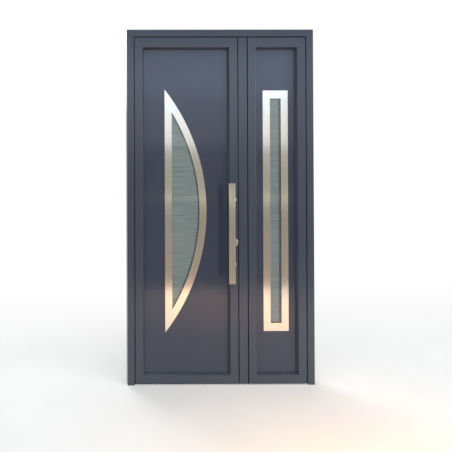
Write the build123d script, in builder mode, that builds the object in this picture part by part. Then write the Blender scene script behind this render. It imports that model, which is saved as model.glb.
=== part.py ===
import os
from math import sqrt

from build123d import *

os.makedirs("parts", exist_ok=True)

# Front door with a wide and a narrow leaf in one frame, in millimetres.
# +X is to the right seen from outside, +Y goes into the building, +Z is up.
# The origin is the middle of the threshold's underside.

# Outer frame
frame_width = 1155
frame_height = 2195
frame_depth = 70
frame_face = 43
wing_width = 18
wing_depth = 15
profile_wall = 2
threshold_height = 6
threshold_arris = 2
fixing_radius = 5.25
fixing_count = 4
fixing_lowest = 250
fixing_top_inset = 235

# Leaves
leaf_gap = 6
leaf_clearance = 4
active_share = 0.64
post_width = 53
stile_face = 49
top_rail_face = 60
bottom_rail_face = 49
lip_depth = 20
lip_slope = 8
flap_thickness = 12
shoulder_overlap = 8
flap_gap = 4
meeting_recess = 5
meeting_flap_recess = 4
outer_arris = 1.5
inner_arris = 3
post_recess = 3
post_flap_recess = 2
overcut = 1

# Infill panels, their gaskets and their inner beads
panel_thickness = 28
gasket_thickness = 2
gasket_width = 10
rebate_cover = 18
panel_cover = 14
bead_wall = 2
bead_joint = 0.2

# Half-moon light in the wide leaf, tall light in the narrow one
moon_width = 259
moon_height = 1512
moon_band = 44
tall_width = 156
tall_height = 1498
tall_side_band = 44
tall_end_band = 50
trim_thickness = 2
trim_cover = 22
glass_clearance = 3
pane_thickness = 4
spacer_width = 10
spacer_inset = 2

# Pull bar outside
pull_length = 600
pull_width = 38
pull_thickness = 12
pull_standoff = 67
pull_offset = 40
pull_centre_height = 942
pull_leg_spacing = 400
pull_leg_radius = 9
pull_foot_radius = 15
pull_foot_height = 4
pull_arris = 0.8

# Lock, cylinder and inside handle
lock_backset = 24.5
cylinder_height = 887
cylinder_radius = 8.5
cylinder_tail_width = 10
cylinder_tail_height = 24
cylinder_proud = 1
plug_radius = 6.5
keyway_width = 2.4
keyway_height = 9
running_clearance = 0.05
rosette_radius = 24
rosette_height = 8
rosette_rim = 2.5
lock_centres = 92
spindle_size = 8
spindle_clearance = 3
lever_neck_radius = 9
lever_reach = 44
lever_length = 128
lever_width = 20
lever_thickness = 11
lever_rim = 3
handle_plate_width = 36
handle_plate_height = 210
handle_plate_thickness = 8
handle_plate_corner = 6
handle_plate_rim = 1.5
knob_width = 11
knob_length = 30
knob_depth = 16
knob_base_height = 5
knob_base_lip = 3
knob_rim = 2
lock_case_depth = 28
lock_case_thickness = 16
lock_case_height = 240
lock_case_rise = 28
case_wall = 1.5
case_setback = 1
end_case_height = 90
end_lock_lowest = 350
end_lock_top_inset = 406
faceplate_thickness = 2.5
faceplate_width = 20
faceplate_bottom = 220
faceplate_top_inset = 276
deadbolt_height = 26
deadbolt_drop = 52
end_bolt_height = 20
bolt_thickness = 12
bolt_length = 24
bolt_nose = 1
latch_rise = 21
latch_height = 18
latch_thickness = 11
latch_reach = 13
latch_body_length = 16
latch_nose = 9
latch_tip = 2
slot_clearance = 0.4
keep_clearance = 2
keep_margin = 16

# Flush bolts of the narrow leaf
flush_rod_radius = 4
flush_rod_inset = 14
flush_rod_length = 230
flush_plate_length = 150
flush_plate_inset = 60
flush_slot_width = 6
flush_thumb_length = 24
flush_top_travel = 20
flush_bottom_travel = 9
flush_hole_clearance = 0.6
flush_tip_chamfer = 1
flush_bottom_inset = 0.5
flush_top_reach = 1
flush_thumb_proud = 1
flush_thumb_margin = 1
strike_length = 40
strike_thickness = 2
cap_thickness = 2

# Hinges
hinge_lowest = 240
hinge_top_inset = 286
hinge_length = 100
hinge_end_knuckle = 25
hinge_knuckle_gap = 0.3
hinge_radius = 9.5
hinge_pin_radius = 5
hinge_pin_head = 3
hinge_pin_head_radius = 8.5
hinge_axis_inset = 27
hinge_axis_standoff = 14
hinge_plate_thickness = 4
hinge_frame_plate = 18
hinge_leaf_plate = 37
hinge_leaf_plate_inset = 11
hinge_web = 9
hinge_web_lift = 1
hinge_web_lap = 4

# Corner cleats, seals and brushes
cleat_length = 90
cleat_thickness = 20
frame_seal_width = 7
frame_seal_inset = 2
seal_clearance = 0.5
meeting_seal_width = 6
meeting_seal_reach = 2.4
lip_seal_width = 4
flap_seal_inset = 2
flap_seal_reach = 1.8
brush_thickness = 5
brush_inset = 12

# Worked out from the sizes above
half_width = frame_width / 2
body_width = frame_face - wing_width
fixing_spacing = (frame_height - fixing_lowest - fixing_top_inset) / (fixing_count - 1)
leaves_width = frame_width - 2 * frame_face - 4 * leaf_gap - post_width
active_width = round(leaves_width * active_share)
side_width = leaves_width - active_width
active_left = -half_width + frame_face + leaf_gap
active_right = active_left + active_width
post_left = active_right + leaf_gap
post_right = post_left + post_width
side_left = post_right + leaf_gap
side_right = side_left + side_width
leaf_bottom = threshold_height + leaf_clearance
leaf_top = frame_height - frame_face - leaf_gap
shoulder_step = leaf_gap + shoulder_overlap
flap_step = leaf_gap + wing_width - flap_gap
flap_start = frame_depth - flap_thickness
opening_bottom = leaf_bottom + bottom_rail_face
opening_top = leaf_top - top_rail_face
opening_middle = (opening_bottom + opening_top) / 2
tube_face = stile_face + lip_slope - rebate_cover
panel_front = lip_depth + gasket_thickness
panel_back = panel_front + panel_thickness
bead_front = panel_back + gasket_thickness
active_middle = (active_left + active_right) / 2
side_middle = (side_left + side_right) / 2
lock_edge = active_right - meeting_recess
lock_x = active_right - lock_backset
faceplate_x = lock_edge + faceplate_thickness
keep_wall_x = post_left + post_recess
keep_x = keep_wall_x - faceplate_thickness
lock_depth = frame_depth / 2
lever_height = cylinder_height + lock_centres
handle_plate_centre = (cylinder_height + lever_height) / 2
lock_case_centre = cylinder_height + lock_case_rise
deadbolt_centre = cylinder_height - deadbolt_drop
latch_centre = lever_height + latch_rise
end_lock_heights = (end_lock_lowest, leaf_top - end_lock_top_inset)
faceplate_top = leaf_top - faceplate_top_inset
hinge_highest = leaf_top - hinge_top_inset
hinge_heights = (hinge_lowest, (hinge_lowest + hinge_highest) / 2, hinge_highest)
flush_x = keep_wall_x + flush_rod_inset
astragal_right = side_left - shoulder_step
astragal_flap_left = post_left + post_flap_recess
astragal_flap_right = side_left - flap_step


def into(depth):
    """Y of a depth measured inwards from the outside face."""
    return depth - frame_depth / 2


def block(low, high, mode=Mode.ADD):
    """Box between two opposite corners, each (x, y, z), in the part being built."""
    size = [top - bottom for bottom, top in zip(low, high)]
    middle = [(top + bottom) / 2 for bottom, top in zip(low, high)]
    with Locations(tuple(middle)):
        Box(*size, mode=mode)


def hollow(outer, inner, depths):
    """Space that runs round inside a frame, between two rectangles (left, right, bottom, top)."""
    left, right, bottom, top = outer
    start, end = (into(depth) for depth in depths)
    with BuildPart() as space:
        block((left, start, bottom), (right, end, top))
        block((inner[0], start, inner[2]), (inner[1], end, inner[3]), Mode.SUBTRACT)
    return space.part


def inset(rectangle, left, right, bottom, top):
    """Rectangle (left, right, bottom, top) with each side moved in."""
    return (rectangle[0] + left, rectangle[1] - right, rectangle[2] + bottom, rectangle[3] - top)


def facing(corner, inner_corner, target):
    """Plane along Y through two points (x, z), its normal on the side of a third point."""
    along = (inner_corner[0] - corner[0], inner_corner[1] - corner[1])
    normal = (along[1], -along[0])
    side = normal[0] * (target[0] - corner[0]) + normal[1] * (target[1] - corner[1])
    sign = 1 if side > 0 else -1
    return Plane((corner[0], 0, corner[1]), x_dir=(0, 1, 0), z_dir=(sign * normal[0], 0, sign * normal[1]))


def save(builder, name):
    """Label a finished piece and write its file."""
    builder.part.label = name
    export_step(builder.part, f"parts/{name}.step")


def save_members(ring, outer, inner, names):
    """Part a ring at its mitres into its members; names maps a member's side to its node."""
    left, right, bottom, top = outer
    middle = ((left + right) / 2, (bottom + top) / 2)
    corners = {
        "bottom left": ((left, bottom), (inner[0], inner[2])),
        "top left": ((left, top), (inner[0], inner[3])),
        "bottom right": ((right, bottom), (inner[1], inner[2])),
        "top right": ((right, top), (inner[1], inner[3])),
    }
    ends = {
        "left": (left, middle[1]),
        "right": (right, middle[1]),
        "bottom": (middle[0], bottom),
        "top": (middle[0], top),
    }
    for side, name in names.items():
        target = ends[side]
        across = (0, 1) if side in ("left", "right") else (1, 0)
        beyond = (middle[0] + across[0], middle[1] + across[1])
        with BuildPart() as member:
            add(ring)
            split(bisect_by=facing(middle, beyond, target), keep=Keep.TOP)
            for corner, (outside, inside) in corners.items():
                if side in corner.split():
                    split(bisect_by=facing(outside, inside, target), keep=Keep.TOP)
        save(member, name)


# Outer frame: two jambs and a head in one hollow section, mitred at the top corners and
# standing on the floor. The wing is the outer lip that the leaves close against.
frame_outer = (-half_width, half_width, 0, frame_height)
wing_opening = (-half_width + frame_face, half_width - frame_face, 0, frame_height - frame_face)
body_opening = (-half_width + body_width, half_width - body_width, 0, frame_height - body_width)

with BuildPart() as frame_ring:
    block((-half_width, into(0), 0), (half_width, into(frame_depth), frame_height))
    block(
        (wing_opening[0], into(0), 0),
        (wing_opening[1], into(wing_depth), wing_opening[3]),
        Mode.SUBTRACT,
    )
    block(
        (body_opening[0], into(wing_depth), 0),
        (body_opening[1], into(frame_depth), body_opening[3]),
        Mode.SUBTRACT,
    )
    face_edges = frame_ring.edges().filter_by_position(Axis.Y, into(0), into(0))
    fillet(face_edges.filter_by_position(Axis.Z, 1, frame_height), radius=outer_arris)
    wing_space = (
        inset(frame_outer, profile_wall, profile_wall, 0, profile_wall),
        inset(wing_opening, -profile_wall, -profile_wall, 0, -profile_wall),
    )
    body_space = (
        wing_space[0],
        inset(body_opening, -profile_wall, -profile_wall, 0, -profile_wall),
    )
    add(hollow(*wing_space, (profile_wall, wing_depth - profile_wall)), mode=Mode.SUBTRACT)
    add(hollow(*body_space, (profile_wall, frame_depth - profile_wall)), mode=Mode.SUBTRACT)
    # fixing holes through both walls of each jamb
    with BuildSketch(Plane.YZ.offset(-half_width)):
        for step in range(fixing_count):
            with Locations((0, fixing_lowest + step * fixing_spacing)):
                Circle(fixing_radius)
    extrude(amount=frame_width, mode=Mode.SUBTRACT)
    # socket for the narrow leaf's upper flush bolt
    with BuildSketch(Plane.XY.offset(frame_height - body_width)):
        with Locations((flush_x, into(lock_depth))):
            Circle(flush_rod_radius + flush_hole_clearance)
    extrude(amount=profile_wall, mode=Mode.SUBTRACT)

save_members(
    frame_ring.part,
    frame_outer,
    wing_opening,
    {"left": "left_jamb", "right": "right_jamb", "top": "head"},
)

# Flat threshold between the jambs, notched round their wings, with the socket of the
# lower flush bolt
with BuildPart() as threshold:
    block(
        (wing_opening[0], into(0), 0),
        (wing_opening[1], into(wing_depth), threshold_height),
    )
    block(
        (body_opening[0], into(wing_depth), 0),
        (body_opening[1], into(frame_depth), threshold_height),
    )
    front_edge = threshold.edges().filter_by(Axis.X).filter_by_position(Axis.Y, into(0), into(0))
    top_edge = front_edge.filter_by_position(Axis.Z, threshold_height, threshold_height)
    chamfer(top_edge, length=threshold_arris)
    with BuildSketch(Plane.XY):
        with Locations((flush_x, into(lock_depth))):
            Circle(flush_rod_radius + flush_hole_clearance)
    extrude(amount=threshold_height, mode=Mode.SUBTRACT)
save(threshold, "threshold")

# Rubber seal on the back of the wing, all round above the threshold, pressed by the leaves
seal_inner = inset(wing_opening, -frame_seal_inset, -frame_seal_inset, 0, -frame_seal_inset)
seal_outer = inset(seal_inner, -frame_seal_width, -frame_seal_width, 0, -frame_seal_width)
with BuildPart() as frame_seal:
    depths = (wing_depth, lip_depth - seal_clearance)
    add(hollow(seal_outer, seal_inner, depths))
    block(
        (-half_width, into(0), 0),
        (half_width, into(frame_depth), leaf_bottom),
        Mode.SUBTRACT,
    )
save(frame_seal, "frame_seal")


def leaf_ring(left, right, left_steps, right_steps):
    """Hollow frame of one leaf. Steps are how far shoulder and flap stand out past the face."""
    face = (left, right, leaf_bottom, leaf_top)
    shoulder = inset(face, -left_steps[0], -right_steps[0], 0, -shoulder_step)
    flap = inset(face, -left_steps[1], -right_steps[1], 0, -flap_step)
    arris = inset(face, stile_face, stile_face, bottom_rail_face, top_rail_face)
    lip = inset(arris, lip_slope, lip_slope, lip_slope, lip_slope)
    rebate = inset(lip, -rebate_cover, -rebate_cover, -rebate_cover, -rebate_cover)
    layers = (
        (face, 0, lip_depth),
        (shoulder, lip_depth, flap_start),
        (flap, flap_start, frame_depth),
    )
    with BuildPart() as ring:
        for (low_x, high_x, low_z, high_z), start, end in layers:
            block((low_x, into(start), low_z), (high_x, into(end), high_z))
        # sloped side of the outer lip
        for rectangle, depth in ((arris, 0), (lip, lip_depth)):
            with BuildSketch(Plane.XZ.offset(-into(depth))):
                with Locations(((rectangle[0] + rectangle[1]) / 2, (rectangle[2] + rectangle[3]) / 2)):
                    Rectangle(rectangle[1] - rectangle[0], rectangle[3] - rectangle[2])
        loft(mode=Mode.SUBTRACT)
        # rebate that takes the panel from inside
        block(
            (rebate[0], into(lip_depth), rebate[2]),
            (rebate[1], into(frame_depth), rebate[3]),
            Mode.SUBTRACT,
        )
        front = ring.edges().filter_by_position(Axis.Y, into(0), into(0))
        inner_loop = front.filter_by_position(
            Axis.X, left + overcut, right - overcut
        ).filter_by_position(Axis.Z, leaf_bottom + overcut, leaf_top - overcut)
        outer_loop = ShapeList(edge for edge in front if edge not in inner_loop)
        fillet(inner_loop, radius=inner_arris)
        fillet(outer_loop, radius=outer_arris)
        # hollow of the face, of the main tube and of the shoulder
        tube = inset(
            face,
            profile_wall - min(left_steps[0], 0),
            profile_wall - min(right_steps[0], 0),
            profile_wall,
            profile_wall,
        )
        lip_wall = profile_wall + gasket_thickness
        face_end = inset(arris, -lip_wall, -lip_wall, -lip_wall, -lip_wall)
        tube_end = inset(rebate, -profile_wall, -profile_wall, -profile_wall, -profile_wall)
        add(hollow(tube, face_end, (profile_wall, lip_depth - profile_wall)), mode=Mode.SUBTRACT)
        add(hollow(tube, tube_end, (profile_wall, frame_depth - profile_wall)), mode=Mode.SUBTRACT)
        shoulder_space = inset(shoulder, profile_wall, profile_wall, profile_wall, profile_wall)
        shoulder_depths = (lip_depth + profile_wall, flap_start - profile_wall)
        add(hollow(shoulder_space, tube_end, shoulder_depths), mode=Mode.SUBTRACT)
    return ring.part, face, arris


def save_corner_cleats(face, left_steps, right_steps, name):
    """Four L-shaped blocks crimped inside the mitred corners of one leaf."""
    outer = inset(
        face,
        profile_wall - min(left_steps[0], 0),
        profile_wall - min(right_steps[0], 0),
        profile_wall,
        profile_wall,
    )
    bottom_tube = bottom_rail_face + lip_slope - rebate_cover - profile_wall
    top_tube = top_rail_face + lip_slope - rebate_cover - profile_wall
    side_tube = tube_face - profile_wall
    inner = inset(face, side_tube, side_tube, bottom_tube, top_tube)
    start = into(lock_depth - cleat_thickness / 2)
    end = into(lock_depth + cleat_thickness / 2)
    with BuildPart() as cleats:
        block((outer[0], start, outer[2]), (outer[1], end, outer[3]))
        block((inner[0], start, inner[2]), (inner[1], end, inner[3]), Mode.SUBTRACT)
        block(
            (outer[0] + cleat_length, start, outer[2]),
            (outer[1] - cleat_length, end, outer[3]),
            Mode.SUBTRACT,
        )
        block(
            (outer[0], start, outer[2] + cleat_length),
            (outer[1], end, outer[3] - cleat_length),
            Mode.SUBTRACT,
        )
    save(cleats, name)


def save_panel_fixings(arris, leaf):
    """Inner glazing beads and the gaskets on both sides of one panel."""
    lip = inset(arris, lip_slope, lip_slope, lip_slope, lip_slope)
    rebate = inset(lip, -rebate_cover, -rebate_cover, -rebate_cover, -rebate_cover)
    seat = inset(lip, -gasket_width, -gasket_width, -gasket_width, -gasket_width)
    with BuildPart() as beads:
        add(hollow(rebate, lip, (bead_front, frame_depth)))
        back = beads.edges().filter_by_position(Axis.Y, into(frame_depth), into(frame_depth))
        sight_edges = back.filter_by_position(
            Axis.X, lip[0] - overcut, lip[1] + overcut
        ).filter_by_position(Axis.Z, lip[2] - overcut, lip[3] + overcut)
        fillet(sight_edges, radius=inner_arris)
        wall = inner_arris + bead_wall
        add(
            hollow(
                inset(rebate, bead_wall, bead_wall, bead_wall, bead_wall),
                inset(lip, -wall, -wall, -wall, -wall),
                (bead_front + bead_wall, frame_depth - bead_wall),
            ),
            mode=Mode.SUBTRACT,
        )
        # the four beads meet at mitred joints
        for side_x, turn in ((0, 45), (1, -45)):
            for end_z, flip in ((2, 1), (3, -1)):
                corner = Location((lip[side_x], into(frame_depth), lip[end_z]), (0, flip * turn, 0))
                with Locations(corner):
                    Box(
                        bead_joint,
                        2 * (frame_depth - bead_front),
                        3 * rebate_cover,
                        mode=Mode.SUBTRACT,
                    )
    save(beads, f"{leaf}_glazing_beads")

    with BuildPart() as gaskets:
        add(hollow(seat, lip, (lip_depth, panel_front)))
        add(hollow(seat, lip, (panel_back, bead_front)))
    save(gaskets, f"{leaf}_panel_gaskets")


def plate(outline, start, end):
    """Flat plate with an outline in X and Z, between two depths."""
    with BuildPart() as sheet:
        with BuildSketch(Plane.XZ.offset(-into(end))):
            add(outline)
        extrude(amount=end - start)
    return sheet.part


def moon_outline(margin):
    """Half-moon: an upright chord on the left closed by one arc, all sides moved in by margin."""
    radius = (moon_height**2 / 4 + moon_width**2) / (2 * moon_width)
    chord_x = active_middle - moon_width / 2 + margin
    centre_x = active_middle + moon_width / 2 - radius
    reach = radius - margin
    half_chord = sqrt(reach**2 - (chord_x - centre_x) ** 2)
    with BuildSketch() as outline:
        with BuildLine():
            Line((chord_x, opening_middle - half_chord), (chord_x, opening_middle + half_chord))
            ThreePointArc(
                (chord_x, opening_middle + half_chord),
                (centre_x + reach, opening_middle),
                (chord_x, opening_middle - half_chord),
            )
        make_face()
    return outline.sketch


def tall_outline(margin, end_margin=None):
    """Upright rectangle in the narrow leaf, its sides and ends moved in."""
    ends = margin if end_margin is None else end_margin
    with BuildSketch() as outline:
        with Locations((side_middle, opening_middle)):
            Rectangle(tall_width - 2 * margin, tall_height - 2 * ends)
    return outline.sketch


def save_infill(arris, leaf, outline, ring_hole):
    """Panel with its light: two trims, a sealed double pane and its spacer."""
    lip = inset(arris, lip_slope, lip_slope, lip_slope, lip_slope)
    sheet = inset(lip, -panel_cover, -panel_cover, -panel_cover, -panel_cover)
    with BuildPart() as panel:
        block((sheet[0], into(panel_front), sheet[2]), (sheet[1], into(panel_back), sheet[3]))
        add(plate(outline(trim_cover), panel_front, panel_back), mode=Mode.SUBTRACT)
    save(panel, f"{leaf}_panel")

    with BuildPart() as outer_trim:
        add(plate(outline(0), panel_front - trim_thickness, panel_front))
        add(plate(ring_hole, panel_front - trim_thickness, panel_front), mode=Mode.SUBTRACT)
    save(outer_trim, f"{leaf}_outer_trim")

    with BuildPart() as inner_trim:
        add(plate(outline(0), panel_back, panel_back + trim_thickness))
        add(plate(ring_hole, panel_back, panel_back + trim_thickness), mode=Mode.SUBTRACT)
    save(inner_trim, f"{leaf}_inner_trim")

    pane = outline(trim_cover + glass_clearance)
    with BuildPart() as panes:
        add(plate(pane, panel_front, panel_front + pane_thickness))
        add(plate(pane, panel_back - pane_thickness, panel_back))
    save(panes, f"{leaf}_glass")

    rim = trim_cover + glass_clearance + spacer_inset
    gap = (panel_front + pane_thickness, panel_back - pane_thickness)
    with BuildPart() as spacer:
        add(plate(outline(rim), *gap))
        add(plate(outline(rim + spacer_width), *gap), mode=Mode.SUBTRACT)
    save(spacer, f"{leaf}_glass_spacer")


def save_brush(left, right, leaf):
    """Brush strip under a leaf, just clear of the threshold."""
    with BuildPart() as brush:
        block(
            (left + brush_inset, into(lock_depth - brush_thickness / 2), threshold_height + seal_clearance),
            (right - brush_inset, into(lock_depth + brush_thickness / 2), leaf_bottom),
        )
    save(brush, f"{leaf}_bottom_brush")


hinge_steps = (shoulder_step, flap_step)
lock_steps = (-meeting_recess, -meeting_flap_recess)
slot_half = bolt_thickness / 2 + slot_clearance


def euro_profile(clearance):
    """Keyhole-shaped section of the lock cylinder, round at the top with a narrow tail."""
    with BuildSketch() as outline:
        with Locations((lock_x, cylinder_height)):
            Circle(cylinder_radius + clearance)
            Rectangle(
                cylinder_tail_width + 2 * clearance,
                cylinder_tail_height + clearance,
                align=(Align.CENTER, Align.MAX),
            )
    return outline.sketch


# Wide leaf: hollow frame, machined on its lock side for the lock cases, the cylinder
# and the handle spindle
active_ring, active_face, active_arris = leaf_ring(active_left, active_right, hinge_steps, lock_steps)
case_front = lock_edge - profile_wall - case_setback
case_back = case_front - lock_case_depth
lock_cases = [(lock_case_centre, lock_case_height)]
lock_cases += [(height, end_case_height) for height in end_lock_heights]

with BuildPart() as machined_ring:
    add(active_ring)
    for centre, height in lock_cases:
        block(
            (case_front, into(lock_depth - lock_case_thickness / 2), centre - height / 2),
            (
                lock_edge + overcut,
                into(lock_depth + lock_case_thickness / 2),
                centre + height / 2,
            ),
            Mode.SUBTRACT,
        )
    add(plate(euro_profile(slot_clearance), 0, frame_depth), mode=Mode.SUBTRACT)
    with BuildSketch(Plane.XZ.offset(-into(frame_depth))):
        with Locations((lock_x, lever_height)):
            Circle(spindle_size / 2 + spindle_clearance)
    extrude(amount=frame_depth - lock_depth, mode=Mode.SUBTRACT)

save_members(
    machined_ring.part,
    active_face,
    active_arris,
    {
        "left": "active_hinge_stile",
        "right": "active_lock_stile",
        "bottom": "active_bottom_rail",
        "top": "active_top_rail",
    },
)
save_corner_cleats(active_face, hinge_steps, lock_steps, "active_corner_cleats")
save_panel_fixings(active_arris, "active")
save_infill(active_arris, "active", moon_outline, moon_outline(moon_band))
save_brush(active_left, active_right, "active")

# Narrow leaf: the same frame section on all four sides
side_ring, side_face, side_arris = leaf_ring(side_left, side_right, hinge_steps, hinge_steps)
save_members(
    side_ring,
    side_face,
    side_arris,
    {
        "left": "side_meeting_stile",
        "right": "side_hinge_stile",
        "bottom": "side_bottom_rail",
        "top": "side_top_rail",
    },
)
save_corner_cleats(side_face, hinge_steps, hinge_steps, "side_corner_cleats")
save_panel_fixings(side_arris, "side")
save_infill(side_arris, "side", tall_outline, tall_outline(tall_side_band, tall_end_band))
save_brush(flush_x, side_right, "side")

# Two L-shaped blocks crimped inside the frame's top corners
with BuildPart() as frame_cleats:
    start = into(lock_depth - cleat_thickness / 2)
    end = into(lock_depth + cleat_thickness / 2)
    space = inset(frame_outer, profile_wall, profile_wall, 0, profile_wall)
    block((space[0], start, space[3] - cleat_length), (space[1], end, space[3]))
    block(
        (space[0] + cleat_length, start, space[3] - cleat_length),
        (space[1] - cleat_length, end, space[3]),
        Mode.SUBTRACT,
    )
    wall_face = inset(body_opening, -profile_wall, -profile_wall, 0, -profile_wall)
    block((wall_face[0], start, 0), (wall_face[1], end, wall_face[3]), Mode.SUBTRACT)
save(frame_cleats, "frame_corner_cleats")

# Post between the leaves. It is screwed to the narrow leaf's meeting stile and swings
# with it. Its side towards the wide leaf is set back so that either leaf can swing alone.
with BuildPart() as astragal:
    block((post_left, into(0), leaf_bottom), (post_right, into(wing_depth), leaf_top))
    front = astragal.edges().filter_by_position(Axis.Y, into(0), into(0))
    fillet(front, radius=outer_arris)
    block((keep_wall_x, into(wing_depth), leaf_bottom), (astragal_right, into(lip_depth), leaf_top))
    block(
        (keep_wall_x, into(lip_depth), leaf_bottom),
        (astragal_right, into(flap_start), leaf_top + shoulder_step),
    )
    block(
        (astragal_flap_left, into(flap_start), leaf_bottom),
        (astragal_flap_right, into(frame_depth), leaf_top + flap_step),
    )
    block(
        (keep_wall_x + profile_wall, into(profile_wall), leaf_bottom),
        (astragal_right - profile_wall, into(flap_start - profile_wall), leaf_top + shoulder_step),
        Mode.SUBTRACT,
    )
    # the face closes again above the hollow, where the post passes behind the head's wing
    block((post_left, into(0), leaf_top), (post_right, into(lip_depth), frame_height), Mode.SUBTRACT)
    # sockets for the bolts and the latch
    sockets = [(deadbolt_centre, deadbolt_height), (latch_centre, latch_height)]
    sockets += [(height, end_bolt_height) for height in end_lock_heights]
    for centre, height in sockets:
        half = height / 2 + keep_clearance
        block(
            (
                keep_wall_x - overcut,
                into(lock_depth - slot_half - keep_clearance),
                centre - half,
            ),
            (
                keep_wall_x + profile_wall,
                into(lock_depth + slot_half + keep_clearance),
                centre + half,
            ),
            Mode.SUBTRACT,
        )
    # slots for the flush bolts' thumb pieces
    flush_starts = (
        leaf_bottom + flush_plate_inset,
        leaf_top - flush_plate_inset - flush_plate_length,
    )
    for start in flush_starts:
        block(
            (
                keep_wall_x - overcut,
                into(lock_depth - flush_slot_width / 2),
                start + keep_margin,
            ),
            (
                keep_wall_x + profile_wall,
                into(lock_depth + flush_slot_width / 2),
                start + flush_plate_length - keep_margin,
            ),
            Mode.SUBTRACT,
        )
save(astragal, "astragal")

# Plastic caps in the two ends of the post's hollow, with the guide holes of the flush rods
with BuildPart() as astragal_caps:
    cap_starts = (leaf_bottom, leaf_top + shoulder_step - cap_thickness)
    for start in cap_starts:
        block(
            (keep_wall_x + profile_wall, into(lip_depth + profile_wall), start),
            (
                astragal_right - profile_wall,
                into(flap_start - profile_wall),
                start + cap_thickness,
            ),
        )
        with BuildSketch(Plane.XY.offset(start)):
            with Locations((flush_x, into(lock_depth))):
                Circle(flush_rod_radius + slot_clearance)
        extrude(amount=cap_thickness, mode=Mode.SUBTRACT)
save(astragal_caps, "astragal_caps")

# Steel keeps on the post, opposite the bolts and the latch
with BuildPart() as keeps:
    for centre, height in sockets:
        half = height / 2 + keep_margin
        block(
            (keep_x, into(lock_depth - faceplate_width / 2), centre - half),
            (keep_wall_x, into(lock_depth + faceplate_width / 2), centre + half),
        )
        block(
            (
                keep_x,
                into(lock_depth - slot_half - slot_clearance),
                centre - (height + keep_clearance) / 2,
            ),
            (
                keep_wall_x,
                into(lock_depth + slot_half + slot_clearance),
                centre + (height + keep_clearance) / 2,
            ),
            Mode.SUBTRACT,
        )
save(keeps, "lock_keeps")

# Face plates of the two flush bolts, slotted for the thumb pieces
with BuildPart() as flush_plates:
    for start in flush_starts:
        block(
            (keep_x, into(lock_depth - faceplate_width / 2), start),
            (keep_wall_x, into(lock_depth + faceplate_width / 2), start + flush_plate_length),
        )
        block(
            (keep_x, into(lock_depth - flush_slot_width / 2), start + keep_margin),
            (
                keep_wall_x,
                into(lock_depth + flush_slot_width / 2),
                start + flush_plate_length - keep_margin,
            ),
            Mode.SUBTRACT,
        )
save(flush_plates, "flush_bolt_plates")


def save_flush_bolt(tip, towards, thumb_start, name):
    """Rod in the post with a thumb piece in its slot; towards is +1 for up, -1 for down."""
    with BuildPart() as bolt:
        with BuildSketch(Plane.XY.offset(tip)):
            with Locations((flush_x, into(lock_depth))):
                Circle(flush_rod_radius)
        extrude(amount=-towards * flush_rod_length)
        tip_edges = bolt.edges().filter_by(GeomType.CIRCLE).filter_by_position(Axis.Z, tip, tip)
        chamfer(tip_edges, length=flush_tip_chamfer)
        half = flush_slot_width / 2 - slot_clearance
        block(
            (keep_x - flush_thumb_proud, into(lock_depth - half), thumb_start),
            (flush_x, into(lock_depth + half), thumb_start + flush_thumb_length),
        )
    save(bolt, name)


slot_low = flush_starts[0] + keep_margin
slot_high = flush_starts[1] + flush_plate_length - keep_margin
save_flush_bolt(
    leaf_bottom + flush_bottom_inset,
    -1,
    slot_low + flush_bottom_travel + flush_thumb_margin,
    "bottom_flush_bolt",
)
save_flush_bolt(
    leaf_top + shoulder_step + flush_top_reach,
    1,
    slot_high - flush_top_travel - flush_thumb_margin - flush_thumb_length,
    "top_flush_bolt",
)

# Strike plate of the upper flush bolt under the head
with BuildPart() as head_strike:
    strike_bottom = frame_height - body_width - strike_thickness
    block(
        (flush_x - strike_length / 2, into(lock_depth - faceplate_width / 2), strike_bottom),
        (flush_x + strike_length / 2, into(lock_depth + faceplate_width / 2), frame_height - body_width),
    )
    with BuildSketch(Plane.XY.offset(strike_bottom)):
        with Locations((flush_x, into(lock_depth))):
            Circle(flush_rod_radius + flush_hole_clearance)
    extrude(amount=strike_thickness, mode=Mode.SUBTRACT)
save(head_strike, "head_strike")

# Rubber seals along the meeting edges: one on the wide leaf's edge, one on the post
with BuildPart() as active_meeting_seal:
    block(
        (lock_edge, into(lip_depth), leaf_bottom),
        (
            faceplate_x + meeting_seal_reach,
            into(lip_depth + lip_seal_width),
            leaf_top,
        ),
    )
    flap_edge = active_right - meeting_flap_recess
    flap_seal_start = flap_start + flap_seal_inset
    block(
        (flap_edge, into(flap_seal_start), leaf_bottom),
        (flap_edge + flap_seal_reach, into(flap_seal_start + meeting_seal_width), leaf_top),
    )
save(active_meeting_seal, "active_meeting_seal")

with BuildPart() as post_seal:
    block(
        (keep_wall_x - meeting_seal_reach, into(flap_start - meeting_seal_width), leaf_bottom),
        (keep_wall_x, into(flap_start), leaf_top),
    )
save(post_seal, "post_seal")

# Multipoint lock: one long face plate on the wide leaf's edge, a main case and two end cases
with BuildPart() as faceplate:
    block(
        (lock_edge, into(lock_depth - faceplate_width / 2), faceplate_bottom),
        (faceplate_x, into(lock_depth + faceplate_width / 2), faceplate_top),
    )
    openings = [(deadbolt_centre, deadbolt_height, bolt_thickness)]
    openings += [(latch_centre, latch_height, latch_thickness)]
    openings += [(height, end_bolt_height, bolt_thickness) for height in end_lock_heights]
    for centre, height, thickness in openings:
        half = height / 2 + slot_clearance
        block(
            (lock_edge, into(lock_depth - thickness / 2 - slot_clearance), centre - half),
            (faceplate_x, into(lock_depth + thickness / 2 + slot_clearance), centre + half),
            Mode.SUBTRACT,
        )
save(faceplate, "lock_faceplate")


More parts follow.
